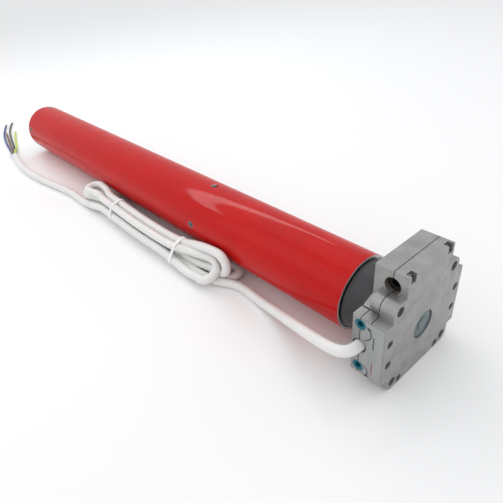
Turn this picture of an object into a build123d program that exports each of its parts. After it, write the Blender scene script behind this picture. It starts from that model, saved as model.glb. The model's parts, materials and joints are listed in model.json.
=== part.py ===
"""Tubular roller shutter motor with a manual override head.

Row frame, millimetres: the origin is the centre of the head's front mounting face, on the
tube axis. +X points out of that face, the tube runs towards -X, and +Z is up.
"""
from build123d import *
from math import acos, atan, cos, pi, radians, sin, sqrt, tan
import os

# ---- driving dimensions -------------------------------------------------------------
# head casting
HEAD_DEPTH = 23.5
COVER_DEPTH = 10.5
BOSS_DEPTH = 17.5
BLOCK_HALF_Y = 25.0
BLOCK_TOP = 52.0
EAR_PITCH = 61.0
EAR_R = 6.3
EAR_HOLE_R = 3.5
FLANK_Y = 43.6
FLANK_Z = 24.0
HEAD_BOTTOM = 37.0
HEAD_SIDE = 36.8
SHELL_SIDE = 34.5
BULGE_R = 37.2
CAVITY_R = 35.7
CAVITY_BACK = -14.8
CAVITY_FRONT = -6.2
CHAMBER_BACK = -22.0
CHAMBER_FRONT = -15.8

# tube and crown
TUBE_R = 29.5
TUBE_WALL = 1.6
TUBE_NEAR = -47.5
TUBE_LENGTH = 554.0
TUBE_FAR = TUBE_NEAR - TUBE_LENGTH
TUBE_INNER_R = TUBE_R - TUBE_WALL
CROWN_R = 27.0
CROWN_BACK = -47.0
CROWN_FRONT = -24.3
SLEEVE_R = 12.0
SHAFT_R = 10.5
RUNNING_GAP = 0.05

# manual override worm drive
WORM_MODULE = 1.0
WHEEL_TEETH = 68
WHEEL_FACE = 6.0
WORM_R = 7.4
WORM_X = -COVER_DEPTH
WORM_Z = WHEEL_TEETH * WORM_MODULE / 2 + WORM_R
WORM_LEAD = pi * WORM_MODULE
WORM_TURNS = 7.5
WORM_JOURNAL_R = 4.55
CRANK_HOLE_R = 5.75
CRANK_HEX = 6.0

# limit switch train, driven by the crown
CROWN_TEETH = 60
CROWN_MODULE = 0.8
PINION_TEETH = 12
PINION_R = (CROWN_TEETH - PINION_TEETH) * CROWN_MODULE / 2
SMALL_TEETH = 10
COUNTER_TEETH = 30
COUNTER_MODULE = 0.7
COUNTER_Y = -22.0
COUNTER_Z = sqrt((0.35 * (SMALL_TEETH + COUNTER_TEETH)) ** 2 - (COUNTER_Y + PINION_R) ** 2)
LIMIT_X = -18.4
LIMIT_Z = 18.0
LIMIT_R = 3.95
SWITCH_Z = 12.2
PLUNGER_BACK, PLUNGER_FRONT = -19.2, -17.6
BOX_BACK = -24.2
BOX_WALL = 1.4
GLAND_R = 5.2
GLAND_RECESS = 0.8

# planetary gearbox
GEAR_MODULE = 1.0
SUN_TEETH = 12
PLANET_TEETH = 18
RING_TEETH = 48
PLANET_PITCH_R = (SUN_TEETH + PLANET_TEETH) * GEAR_MODULE / 2
PIN_R = 3.0
STAGE_FACES = (14.0, 20.0, 30.0)
STAGE_PLATES = (6.0, 8.0, 11.0)
STAGE_GAP = 0.5
GEARBOX_START = -445.0

# motor, brake and output
STATOR_BACK, STATOR_FRONT = -356.0, -236.0
STATOR_BORE_R = 15.2
ROTOR_R = 14.9
ROTOR_SHAFT_R = 4.0
BELL_SCREW_X = -217.0
RIM_SCREW_X = -593.5
SCREW_ANGLES = (-6.0, 84.0, 174.0, 264.0)
PLAIN_HOLE_ANGLE = 84.0
RIM_ANGLES = (-15.0, 75.0, 165.0, 255.0)
TUBE_SCREW_R = 3.4
OUTPUT_R = 10.0
OUTPUT_SQUARE = 13.0
OUTPUT_LENGTH = 25.0

# cord, lying on the surface that the head's bottom edge and the tube's far end rest on
CORD_R = 4.0
CORE_R = 1.3
FLOOR_TILT = atan((HEAD_BOTTOM - TUBE_R) / (-HEAD_DEPTH - TUBE_FAR))
BEND_SHARE = 0.45

nodes = {}


# ---- shape helpers ------------------------------------------------------------------
def rod_x(r, x0, x1, y=0.0, z=0.0):
    """Cylinder along X."""
    return Pos((x0 + x1) / 2, y, z) * Rot(0, 90, 0) * Cylinder(r, abs(x1 - x0))


def rod_y(r, y0, y1, x, z):
    """Cylinder along Y."""
    return Pos(x, (y0 + y1) / 2, z) * Rot(90, 0, 0) * Cylinder(r, abs(y1 - y0))


def ring_x(r_out, r_in, x0, x1, y=0.0, z=0.0):
    return rod_x(r_out, x0, x1, y, z) - rod_x(r_in, x0 - 1, x1 + 1, y, z)


def block(x0, x1, y0, y1, z0, z1):
    return Pos((x0 + x1) / 2, (y0 + y1) / 2, (z0 + z1) / 2) * Box(x1 - x0, y1 - y0, z1 - z0)


def plate(points, x0, x1):
    """Closed outline of (y, z) points, from x0 to x1."""
    face = Plane.YZ.offset(x0) * make_face(Polyline(*points, close=True))
    return extrude(face, amount=x1 - x0)


def hexagon(across_flats, turn=0.0):
    r = across_flats / sqrt(3)
    return [(r * cos(radians(turn + 60 * k)), r * sin(radians(turn + 60 * k))) for k in range(6)]


def shifted(points, y, z):
    return [(py + y, pz + z) for py, pz in points]


def cut_all(body, tools):
    for tool in tools:
        body -= tool
    return body


def around(angles, r):
    return [(r * cos(radians(a)), r * sin(radians(a))) for a in angles]


# ---- gear teeth ---------------------------------------------------------------------
def involute(r, base):
    return 0.0 if r <= base else sqrt((r / base) ** 2 - 1) - acos(base / r)


def gear_outline(teeth, module, thinning, head=0.9, foot=1.15, phase=0.0, pressure=25.0):
    """Outline of a spur gear, with a tooth at angle phase (radians) and its flanks thinned
    by half of thinning each. Each flank has one point at its foot, base, pitch and tip."""
    pitch_r = teeth * module / 2
    base = pitch_r * cos(radians(pressure))
    half = pi / (2 * teeth) - thinning / (2 * pitch_r) + involute(pitch_r, base)
    root, tip = pitch_r - foot * module, pitch_r + head * module
    radii = sorted({root, max(root, base), pitch_r, tip})
    flank = [(r, half - involute(r, base)) for r in radii]
    points = []
    for k in range(teeth):
        centre = phase + 2 * pi * k / teeth
        for r, a in flank:
            points.append((r * cos(centre - a), r * sin(centre - a)))
        for r, a in reversed(flank):
            points.append((r * cos(centre + a), r * sin(centre + a)))
    return points


def mesh_phase(direction, driver_teeth, driver_phase, teeth):
    """Phase that puts a gear in mesh with a driver, the line of centres being at direction."""
    return direction + pi + (driver_teeth * (direction - driver_phase) - pi) / teeth


# ---- head castings ------------------------------------------------------------------
EAR = EAR_PITCH / 2
EARS = [(EAR * sy, EAR * sz) for sy in (-1, 1) for sz in (-1, 1)]
FLANK_SCREWS = [(38.0 * sy, 9.0 * sz) for sy in (-1, 1) for sz in (-1, 1)]
FOOT_SCREWS = [(-22.5, -33.6), (22.5, -33.6)]
NOTCH_SCREWS = [(-20.4, 49.0), (20.4, 49.0)]
NOTCH_HALF = 2.6
NOTCH_FLOOR = 46.2
NOTCH_DEPTH = 4.1
SCREW_R = 1.5
SCREW_HEAD_R = 2.7
SCREW_HEAD_H = 2.2
COUNTERBORE_R = 2.95
COUNTERBORE = 3.0


def head_section(x0, x1, left_flank):
    """Full outline of the head between two stations: body, top block, ears and flanks."""
    body = block(x0, x1, -EAR, EAR, -HEAD_BOTTOM, HEAD_SIDE)
    body += block(x0, x1, -HEAD_SIDE if left_flank else -SHELL_SIDE, HEAD_SIDE, -EAR, EAR)
    body += block(x0, x1, -BLOCK_HALF_Y, BLOCK_HALF_Y, 0, BLOCK_TOP)
    for y, z in EARS:
        body += rod_x(EAR_R if z > 0 else HEAD_BOTTOM - EAR, x0, x1, y, z)
    body += block(x0, x1, -FLANK_Y if left_flank else 0, FLANK_Y, -FLANK_Z, FLANK_Z)
    if not left_flank:
        body += rod_x(BULGE_R, x0, x1) & block(x0, x1, -HEAD_SIDE - 1, 0, -FLANK_Z, FLANK_Z)
    return body


def rear_flange():
    """Rear of the housing, whose corners are cut back behind the four ears."""
    half = [(0, BLOCK_TOP), (BLOCK_HALF_Y, BLOCK_TOP), (BLOCK_HALF_Y, 29.0), (SHELL_SIDE, 25.0)]
    half += [(SHELL_SIDE, 22.0), (SHELL_SIDE, -22.0), (17.0, -HEAD_BOTTOM), (0, -HEAD_BOTTOM)]
    mirrored = [(-y, z) for y, z in reversed(half[1:-1])]
    flange = plate(half + mirrored, -HEAD_DEPTH, -BOSS_DEPTH)
    flange += block(-HEAD_DEPTH, -BOSS_DEPTH, 0, FLANK_Y, -22.0, FLANK_Z)
    return flange


def worm_hollow():
    """Room for the worm, its bushes and the crank hole in the left face."""
    hollow = rod_y(WORM_R + WORM_MODULE + 0.5, -15, 15, WORM_X, WORM_Z)
    hollow += rod_y(CRANK_HOLE_R, -BLOCK_HALF_Y - 1, 21.5, WORM_X, WORM_Z)
    return hollow


def screw_passages(depth):
    """Clearance for the cover screws from the front face to depth."""
    return [rod_x(SCREW_R, depth, 1, y, z) for y, z in FLANK_SCREWS + FOOT_SCREWS + NOTCH_SCREWS]


def make_castings():
    housing = rear_flange() + head_section(-BOSS_DEPTH, -COVER_DEPTH, False)
    housing -= rod_x(CAVITY_R, CAVITY_BACK, -COVER_DEPTH + 1)
    pocket = rod_x(5.2, CHAMBER_BACK, CAVITY_BACK + 1, -PINION_R, 0)
    for side in (-1, 1):
        pocket += rod_x(12.0, CHAMBER_BACK, CAVITY_BACK + 1, COUNTER_Y, side * COUNTER_Z)
    pocket -= rod_x(SLEEVE_R + 1.2, CHAMBER_BACK, CHAMBER_FRONT)
    housing -= pocket
    for side in (-1, 1):
        housing += rod_x(2.0, CHAMBER_BACK, CHAMBER_FRONT, COUNTER_Y, side * COUNTER_Z)
        z = side * SWITCH_Z
        housing -= block(PLUNGER_BACK - 0.4, PLUNGER_FRONT + 0.4, -BULGE_R - 1, -30, z - 1.2, z + 1.2)
    housing = cut_all(housing, [rod_x(SLEEVE_R, -HEAD_DEPTH - 1, CAVITY_BACK + 1), worm_hollow()])
    housing -= rod_x(1.55, -HEAD_DEPTH - 1, CHAMBER_BACK + 1, -PINION_R, 0)
    housing = cut_all(housing, [rod_x(EAR_HOLE_R, -HEAD_DEPTH - 1, 0, y, z) for y, z in EARS])
    nodes["head_housing"] = cut_all(housing, screw_passages(-20.0))

    cover = head_section(-COVER_DEPTH, 0, True)
    cover -= rod_x(CAVITY_R, -COVER_DEPTH - 1, CAVITY_FRONT)
    cover -= rod_x(12.5, -COVER_DEPTH, -1.6)
    cover -= rod_x(10.65, -COVER_DEPTH, 1)
    cover -= worm_hollow()
    for y, z in EARS:
        cover -= rod_x(EAR_HOLE_R, -COVER_DEPTH - 1, 1, y, z)
    for y, z in FLANK_SCREWS + FOOT_SCREWS:
        cover -= rod_x(COUNTERBORE_R, -COUNTERBORE, 1, y, z)
    for y, z in NOTCH_SCREWS:
        cover -= block(-NOTCH_DEPTH, 1, y - NOTCH_HALF, y + NOTCH_HALF, NOTCH_FLOOR, BLOCK_TOP + 1)
    nodes["head_cover"] = cut_all(cover, screw_passages(-COVER_DEPTH - 1))

    nodes["housing_sleeve"] = ring_x(SLEEVE_R, SHAFT_R + RUNNING_GAP, -48.5, -15.0)
    nodes["crown_circlip"] = ring_x(14.2, SLEEVE_R, -38.3, -37.3) - block(-39, -37, -3, 3, -16, 0)
    plate_outline = rod_x(13.0, CHAMBER_FRONT, CAVITY_BACK, -PINION_R, 0)
    for side in (-1, 1):
        plate_outline += rod_x(11.7, CHAMBER_FRONT, CAVITY_BACK, COUNTER_Y, side * COUNTER_Z)
    plate_outline &= rod_x(CAVITY_R - 0.6, CHAMBER_FRONT, CAVITY_BACK)
    outside = pocket.moved(Location((CHAMBER_FRONT - CHAMBER_BACK - 5, 0, 0)))
    nodes["limit_gear_plate"] = (plate_outline & outside) - rod_x(SLEEVE_R + 0.3, -17, -14)


def socket_screw(y, z, x_head, length):
    """Cover screw along X with a hexagon socket in its head."""
    screw = rod_x(SCREW_R, x_head - length, x_head, y, z)
    screw += rod_x(SCREW_HEAD_R, x_head, x_head + SCREW_HEAD_H, y, z)
    return screw - plate(shifted(hexagon(2.5), y, z), x_head + 0.8, x_head + SCREW_HEAD_H + 1)


def slotted_screw(y, z, x_head, length):
    """Cover screw along X with a straight slot across its low head."""
    screw = rod_x(2.3, x_head, x_head + 2.0, y, z) + rod_x(SCREW_R, x_head - length, x_head, y, z)
    return screw - block(x_head + 1.2, x_head + 3.0, y - 3, y + 3, z - 0.4, z + 0.4)


def make_cover_screws():
    seat = -COUNTERBORE
    nodes["flank_screws"] = Compound([socket_screw(y, z, seat, 16.5) for y, z in FLANK_SCREWS])
    screws = [socket_screw(y, z, seat, 15.0) for y, z in FOOT_SCREWS]
    screws += [slotted_screw(y, z, -NOTCH_DEPTH, 13.9) for y, z in NOTCH_SCREWS]
    nodes["cover_screws"] = Compound(screws)


# ---- limit switch box ---------------------------------------------------------------
def box_shell(x0, x1):
    shell = block(x0, x1, -FLANK_Y, -SHELL_SIDE - 0.5, -FLANK_Z, FLANK_Z)
    shell -= rod_x(BULGE_R + 0.2, x0 - 1, x1 + 1)
    inner = block(max(x0, BOX_BACK + BOX_WALL), x1, -FLANK_Y + BOX_WALL, -HEAD_SIDE,
                  SWITCH_Z - 1.5, SWITCH_Z + 1.5)
    for side in (-1, 1):
        room = inner if side > 0 else inner.mirror(Plane.XY)
        shell -= room
        z = side * SWITCH_Z
        shell -= block(PLUNGER_BACK - 0.4, PLUNGER_FRONT + 0.4, -38.0, -34.0, z - 1.2, z + 1.2)
        shell -= rod_y(LIMIT_R + RUNNING_GAP, -FLANK_Y - 1, -38.5, LIMIT_X, side * LIMIT_Z)
        shell -= rod_y(1.9, -39, -SHELL_SIDE, LIMIT_X, side * LIMIT_Z)
    shell -= rod_y(GLAND_R, -FLANK_Y - 1, -38.5, LIMIT_X, 0)
    return cut_all(shell, [rod_x(SCREW_R, -20.0, x1 + 1, y, z) for y, z in FLANK_SCREWS if y < 0])


def microswitch(side):
    """Case, and a plunger that reaches towards the cam through the housing wall."""
    z = side * SWITCH_Z
    case = block(-22.0, -14.0, -42.0, -37.3, z - 1.3, z + 1.3)
    return case + block(PLUNGER_BACK, PLUNGER_FRONT, -37.3, -34.0, z - 0.8, z + 0.8)


def limit_screw(side):
    screw = rod_y(LIMIT_R, -FLANK_Y + 0.1, -38.6, LIMIT_X, side * LIMIT_Z)
    screw += rod_y(1.8, -38.6, -35.3, LIMIT_X, side * LIMIT_Z)
    r = 4.0 / sqrt(3)
    corners = [(r * cos(radians(60 * k)), r * sin(radians(60 * k))) for k in range(6)]
    socket = make_face(Polyline(*corners, close=True))
    face = Plane((LIMIT_X, -FLANK_Y + 0.1, side * LIMIT_Z), z_dir=(0, 1, 0)) * socket
    return screw - extrude(face, amount=3.5)


def make_limit_box():
    nodes["limit_box_rear_shell"] = box_shell(BOX_BACK, LIMIT_X)
    nodes["limit_box_front_shell"] = box_shell(LIMIT_X, -COVER_DEPTH)
    label = block(-17.8, -0.8, -FLANK_Y - 0.2, -FLANK_Y, -22.5, 22.5)
    label -= rod_y(GLAND_R + 0.6, -50, -40, LIMIT_X, 0)
    for side in (-1, 1):
        label -= rod_y(LIMIT_R + 0.9, -50, -40, LIMIT_X, side * LIMIT_Z)
    nodes["limit_label"] = label
    for name, side in (("upper", 1), ("lower", -1)):
        nodes[f"{name}_limit_screw"] = limit_screw(side)
        nodes[f"{name}_limit_switch"] = microswitch(side)
    nodes["cord_gland"] = rod_y(GLAND_R, -FLANK_Y + GLAND_RECESS, -38.5, LIMIT_X, 0)


def make_limit_train():
    phase = radians(15)
    y, small_phase = -PINION_R, radians(9)
    big = gear_outline(PINION_TEETH, CROWN_MODULE, 0.16, phase=phase)
    small = gear_outline(SMALL_TEETH, COUNTER_MODULE, 0.14, phase=small_phase)
    pinion = plate(shifted(big, y, 0), -32.0, -25.0) + rod_x(1.5, -32.0, -18.6, y, 0)
    nodes["limit_pinion"] = pinion + plate(shifted(small, y, 0), -21.6, -18.6)
    for name, side in (("upper", 1), ("lower", -1)):
        line = atan(COUNTER_Z / (COUNTER_Y + PINION_R)) + pi
        direction = side * line
        turn = mesh_phase(direction, SMALL_TEETH, small_phase, COUNTER_TEETH)
        teeth = gear_outline(COUNTER_TEETH, COUNTER_MODULE, 0.14, phase=turn)
        z = side * COUNTER_Z
        gear = plate(shifted(teeth, COUNTER_Y, z), -21.6, -19.0)
        gear += rod_x(8.6, -19.0, -16.1, COUNTER_Y, z)
        gear -= plate([(-34, z - side * 2), (-34, z - side * 9), (-26, z - side * 6)], -18.9, -15)
        nodes[f"{name}_counter_gear"] = gear - rod_x(2.0 + RUNNING_GAP, -23, -15, COUNTER_Y, z)


def make_crown():
    crown = rod_x(CROWN_R, CROWN_BACK, CROWN_FRONT)
    crown -= rod_x(25.0, CROWN_BACK - 1, -37.0)
    crown -= rod_x(SLEEVE_R + RUNNING_GAP, CROWN_BACK, CROWN_FRONT)
    spaces = gear_outline(CROWN_TEETH, CROWN_MODULE, -0.16, 1.15, 0.9, pi / CROWN_TEETH)
    crown -= plate(spaces, -33.0, CROWN_FRONT + 1)
    nodes["crown_ring"] = chamfer(crown.edges().filter_by(GeomType.CIRCLE).sort_by_distance(
        (CROWN_BACK, CROWN_R, 0))[0], 0.6)


# ---- manual override ----------------------------------------------------------------
def make_worm():
    core_r = WORM_R - 1.25 * WORM_MODULE
    length = WORM_TURNS * WORM_LEAD
    helix = Helix(pitch=WORM_LEAD, height=length, radius=core_r - 0.1)
    root_half, tip_half = 0.95, 0.36
    tip = WORM_R + 0.95 * WORM_MODULE - core_r + 0.1
    outline = [(0, -root_half), (tip, -tip_half), (tip, tip_half), (0, root_half)]
    start = Plane(origin=helix @ 0, x_dir=(1, 0, 0), z_dir=helix % 0)
    thread = sweep(start * make_face(Polyline(*outline, close=True)), path=helix, is_frenet=True)
    thread = Pos(WORM_X, -length / 2, WORM_Z) * Rot(-90, 0, 0) * thread
    worm = rod_y(core_r, -13.5, 13.5, WORM_X, WORM_Z) + thread
    worm &= block(-30, 10, -12.6, 12.6, 20, 60) + rod_y(core_r, -14, 14, WORM_X, WORM_Z)
    worm += rod_y(WORM_JOURNAL_R, -21.0, 21.0, WORM_X, WORM_Z)
    r = CRANK_HEX / sqrt(3)
    corners = [(r * cos(radians(60 * k)), r * sin(radians(60 * k))) for k in range(6)]
    socket = make_face(Polyline(*corners, close=True))
    face = Plane((WORM_X, -21.0, WORM_Z), z_dir=(0, 1, 0)) * socket
    nodes["crank_worm"] = worm - extrude(face, amount=14.0)
    bushes = []
    for y0, y1 in ((-21.4, -15.2), (15.2, 21.4)):
        bush = rod_y(CRANK_HOLE_R, y0, y1, WORM_X, WORM_Z)
        bushes.append(bush - rod_y(WORM_JOURNAL_R + RUNNING_GAP, y0 - 1, y1 + 1, WORM_X, WORM_Z))
    nodes["worm_bushes"] = Compound(bushes)


def make_wheel_and_shaft():
    teeth = gear_outline(WHEEL_TEETH, WORM_MODULE, 0.25, 0.9, 1.15, 0.0, 20.0)
    mid = WORM_X
    wheel = plate(teeth, mid - WHEEL_FACE / 2, mid + WHEEL_FACE / 2)
    for x0, x1 in ((mid - 4, mid - 1.5), (mid + 1.5, mid + 4)):
        wheel -= ring_x(30.5, 16.0, x0, x1)
    for y, z in around(range(0, 360, 60), 23.0):
        wheel -= rod_x(4.5, mid - 5, mid + 5, y, z)
    nodes["worm_wheel"] = wheel - rod_x(SHAFT_R + 0.5, mid - 5, mid + 5)
    shaft = rod_x(10.25, -7.4, -0.8) + rod_x(SHAFT_R + 0.5, -13.6, -7.4)
    shaft += rod_x(SHAFT_R, -66.0, -13.6)
    shaft -= rod_x(6.0, -67.0, -10.0)
    nodes["hub_shaft"] = shaft + plate(hexagon(9.0, 30.0), -0.8, -0.3)
    nodes["hub_front_bush"] = ring_x(12.5, 10.25 + RUNNING_GAP, -6.6, -1.6)


# ---- tube and what it holds ---------------------------------------------------------
def radial_screw(x, angle):
    """Countersunk screw through the tube wall, head outwards."""
    seat = TUBE_R - 0.2
    shank = Pos(0, 0, TUBE_R - 5.5) * Cylinder(1.9, 9.0)
    cone = Pos(0, 0, seat - 0.6) * Cone(1.9, TUBE_SCREW_R, 1.2)
    slots = Box(0.7, 3.2, 2.4) + Box(3.2, 0.7, 2.4)
    screw = shank + cone - Pos(0, 0, seat) * slots
    return Rot(angle - 90, 0, 0) * screw.moved(Location((x, 0, 0)))


def radial_hole(x, angle, r):
    return Rot(angle - 90, 0, 0) * (Pos(x, 0, TUBE_R) * Cylinder(r, 30))


def make_tube():
    tube = ring_x(TUBE_R, TUBE_INNER_R, TUBE_FAR, TUBE_NEAR)
    for x, angles in ((BELL_SCREW_X, SCREW_ANGLES), (RIM_SCREW_X, RIM_ANGLES)):
        for angle in angles:
            tube -= radial_hole(x, angle, TUBE_SCREW_R + 0.1)
    nodes["motor_tube"] = tube
    screws = [radial_screw(BELL_SCREW_X, a) for a in SCREW_ANGLES if a != PLAIN_HOLE_ANGLE]
    screws += [radial_screw(RIM_SCREW_X, a) for a in RIM_ANGLES]
    nodes["tube_screws"] = Compound(screws)


def screw_seats(x, angles):
    """Holes for the radial screws, the plain one being wider."""
    return [radial_hole(x, a, 3.5 if a == PLAIN_HOLE_ANGLE else 1.9) for a in angles]


def make_tube_fittings():
    adapter = rod_x(TUBE_INNER_R, -66.0, -49.0) - rod_x(SHAFT_R, -67, -48)
    for y, z in around(range(0, 360, 90), 19.0):
        adapter -= rod_x(4.0, -67, -52, y, z)
    adapter -= rod_x(SLEEVE_R + 0.6, -50.0, -48.0)
    nodes["tube_adapter"] = adapter
    nodes["capacitor"] = rod_x(17.5, -160.0, -88.0) + rod_x(3.0, -88.0, -80.0, 6, 0)
    holder = rod_x(TUBE_INNER_R - 0.4, -172.0, -162.0) - rod_x(9.0, -173, -161)
    holder += ring_x(19.5, 17.5, -164.0, -120.0)
    nodes["capacitor_holder"] = holder

    bell = rod_x(TUBE_INNER_R, -228.0, -206.0) - rod_x(22.0, -229.0, -214.0)
    bell -= rod_x(8.0, -215.0, -205.0)
    bell = cut_all(bell, screw_seats(BELL_SCREW_X, SCREW_ANGLES))
    bell = cut_all(bell, [rod_x(3.5, -215, -205, y, z) for y, z in around((45, 135, 225, 315), 16)])
    nodes["motor_front_bell"] = bell
    rear = rod_x(TUBE_INNER_R, -392.0, -364.0) - rod_x(22.0, -384.0, -363.0) - rod_x(8.0, -393, -383)
    nodes["motor_rear_bell"] = rear
    bearings = [ring_x(8.0, ROTOR_SHAFT_R + RUNNING_GAP, *x) for x in ((-214, -206), (-392, -384))]
    nodes["motor_bearings"] = Compound(bearings)

    core = ring_x(TUBE_INNER_R, STATOR_BORE_R, STATOR_BACK, STATOR_FRONT)
    slots = [rod_x(2.6, STATOR_BACK - 1, STATOR_FRONT + 1, y, z)
             for y, z in around(range(0, 360, 30), 20.5)]
    nodes["stator_core"] = cut_all(core, slots)
    coils = [rod_x(2.5, STATOR_BACK, STATOR_FRONT, y, z) for y, z in around(range(0, 360, 30), 20.5)]
    for x0, x1 in ((STATOR_FRONT, STATOR_FRONT + 7), (STATOR_BACK - 7, STATOR_BACK)):
        coils.append(ring_x(23.5 if x0 < STATOR_BACK else 21.8, 16.5, x0, x1))
    winding = coils[0]
    for coil in coils[1:]:
        winding += coil
    nodes["stator_windings"] = winding

    brake = ring_x(25.0, 10.0, -432.0, -412.0) + ring_x(TUBE_INNER_R, 22.0, -434.0, -392.0)
    nodes["brake_magnet"] = brake
    nodes["brake_armature"] = ring_x(21.4, 6.0, -411.0, -408.0)
    nodes["brake_spring"] = ring_x(9.6, 8.4, -411.0 - 14, -411.0)

    nodes["output_bearings"] = Compound(
        [ring_x(20.0, OUTPUT_R + RUNNING_GAP, x, x + 12.0) for x in (-552.0, -588.0)])
    cap = rod_x(TUBE_INNER_R, -601.0, -576.0) - rod_x(20.0, -588.0, -575.0)
    cap -= rod_x(OUTPUT_R + 0.4, -602.0, -575.0)
    nodes["output_end_cap"] = cut_all(cap, screw_seats(RIM_SCREW_X, RIM_ANGLES))


# ---- rotor and planetary gearbox ----------------------------------------------------
def stage_start(stage):
    x = GEARBOX_START
    for k in range(stage):
        x -= STAGE_FACES[k] + STAGE_PLATES[k] + 2 * STAGE_GAP
    return x


def sun(stage):
    teeth = gear_outline(SUN_TEETH, GEAR_MODULE, 0.12)
    x = stage_start(stage)
    return plate(teeth, x - STAGE_FACES[stage], x + (0.0 if stage == 0 else STAGE_GAP))


def carrier(stage):
    """Plate with three planet pins, turning behind its stage."""
    x = stage_start(stage) - STAGE_FACES[stage] - STAGE_GAP
    body = rod_x(20.3, x - STAGE_PLATES[stage], x)
    for y, z in around((0, 120, 240), PLANET_PITCH_R):
        body += rod_x(PIN_R, x, x + STAGE_FACES[stage] + STAGE_GAP - 0.2, y, z)
    return body


def make_rotor():
    shaft = rod_x(ROTOR_SHAFT_R, stage_start(0) - 1.0, -204.0) + sun(0)
    nodes["rotor_shaft"] = shaft
    core = ring_x(ROTOR_R, ROTOR_SHAFT_R, STATOR_BACK, STATOR_FRONT)
    core += ring_x(12.5, ROTOR_SHAFT_R, STATOR_BACK - 4, STATOR_FRONT + 4)
    nodes["rotor_core"] = core
    nodes["brake_disc"] = ring_x(20.5, ROTOR_SHAFT_R, -405.0, -402.0) + ring_x(
        7.0, ROTOR_SHAFT_R, -402.0, -396.0)


def make_gearbox():
    spaces = gear_outline(RING_TEETH, GEAR_MODULE, -0.12, 1.15, 0.9, pi / RING_TEETH)
    end = stage_start(2) - STAGE_FACES[2] - 1.0
    ring = rod_x(TUBE_INNER_R, -576.0, GEARBOX_START + 9.0)
    ring -= plate(spaces, end, GEARBOX_START + 10.0)
    ring -= rod_x(21.0, -539.0, end + 1.0)
    ring -= rod_x(20.0, -577.0, -538.0)
    nodes["gearbox_ring"] = ring
    sun_phase = 0.0
    for stage, face in enumerate(STAGE_FACES):
        x = stage_start(stage)
        for letter, angle in zip("abc", (0, 120, 240)):
            direction = radians(angle)
            turn = mesh_phase(direction, SUN_TEETH, sun_phase, PLANET_TEETH)
            y, z = PLANET_PITCH_R * cos(direction), PLANET_PITCH_R * sin(direction)
            teeth = gear_outline(PLANET_TEETH, GEAR_MODULE, 0.12, phase=turn)
            gear = plate(shifted(teeth, y, z), x - face, x)
            nodes[f"planet_{stage + 1}{letter}"] = gear - rod_x(PIN_R + RUNNING_GAP, x - 50, x + 1, y, z)
    for stage in (0, 1):
        end = stage_start(stage + 1)
        nodes[f"carrier_{stage + 1}"] = carrier(stage) + sun(stage + 1)
    x = stage_start(2) - STAGE_FACES[2] - STAGE_GAP - STAGE_PLATES[2]
    shaft = carrier(2) + rod_x(OUTPUT_R, TUBE_FAR - 1.0, x)
    half = OUTPUT_SQUARE / 2
    tip = block(TUBE_FAR - OUTPUT_LENGTH, TUBE_FAR, -half, half, -half, half)
    tip &= rod_x(OUTPUT_R - 1.2, TUBE_FAR - OUTPUT_LENGTH, TUBE_FAR)
    tip -= ring_x(OUTPUT_R + 2, 7.6, TUBE_FAR - OUTPUT_LENGTH + 3, TUBE_FAR - OUTPUT_LENGTH + 4.3)
    nodes["output_shaft"] = shaft + tip


# ---- cord ---------------------------------------------------------------------------
def on_floor(u, y, h):
    """Point u along the surface from below the tube's far end, y across and h above it."""
    c, s = cos(FLOOR_TILT), sin(FLOOR_TILT)
    return (TUBE_FAR + u * c + h * s, y, -TUBE_R - u * s + h * c)


LEAD_ROUTE = [
    (LIMIT_X, -FLANK_Y + GLAND_RECESS, 0.0), (LIMIT_X, -50.2, 0.0), (-24.2, -55.6, -1.0),
    (-36.0, -55.4, -3.6),
    (-52.0, -51.5, -8.8), (-73.0, -45.5, -16.5), (-97.0, -38.0, -25.6),
    on_floor(476.0, -33.0, 4.3), on_floor(458.0, -31.2, 4.1), on_floor(444.0, -32.8, 4.1),
]
LAST_BEND = (36.0, -65.0)
SHEATH_END = (-6.0, -57.5)
TAIL_ROUTE = [
    on_floor(189.5, -53.2, 4.1), on_floor(171.0, -52.8, 4.1), on_floor(147.0, -55.8, 4.1),
    on_floor(108.0, -62.8, 4.1), on_floor(72.0, -66.0, 4.1), on_floor(*LAST_BEND, 4.1),
    on_floor(*SHEATH_END, 4.1),
]
# the coiled hank, layer by layer: bottom, top and outline as (u, y) points on the surface
HANK_LAYERS = [
    (0.9, 11.5, [(444.0, -28.5), (444.0, -44.0), (432.0, -54.5), (410.0, -57.4), (189.5, -57.4),
                 (189.5, -30.6), (198.0, -28.0), (225.0, -28.5), (245.0, -30.6), (392.0, -30.6),
                 (408.0, -20.5), (438.0, -20.5)]),
    (11.5, 17.0, [(443.0, -30.6), (443.0, -40.0), (428.0, -55.0), (380.0, -56.4), (240.0, -55.0),
                  (205.0, -52.0), (193.0, -45.0), (193.0, -35.0), (200.0, -30.6)]),
    (17.0, 23.5, [(443.0, -30.8), (443.0, -40.0), (424.0, -48.5), (380.0, -52.0), (240.0, -51.5),
                  (210.0, -51.5), (203.0, -45.0), (203.0, -36.0), (210.0, -31.0)]),
    (23.5, 34.0, [(443.0, -31.0), (443.0, -39.6), (390.0, -41.0), (390.0, -31.0)]),
]
TIE_TOP = 24.3
TIE_STATIONS = (380.0, 267.0)


def bend_radii(route):
    radii = []
    for a, b, c in zip(route, route[1:], route[2:]):
        before, after = Vector(*b) - Vector(*a), Vector(*c) - Vector(*b)
        turn = radians(before.get_angle(after))
        radii.append(BEND_SHARE * min(before.length, after.length) / tan(turn / 2))
    return radii


def cord_tube(name, route, r):
    """Straight runs joined by tangent arcs, as a round tube."""
    radii = bend_radii(route)
    path = FilletPolyline(*route, radius=radii)
    tube = sweep(Plane(origin=path @ 0, z_dir=path % 0) * Circle(r), path=path)
    ideal = pi * r * r * path.length
    print(name, "length", round(path.length, 1), "volume ratio", round(tube.volume / ideal, 4))
    print("  radii", [round(v, 1) for v in radii])
    return tube


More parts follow.
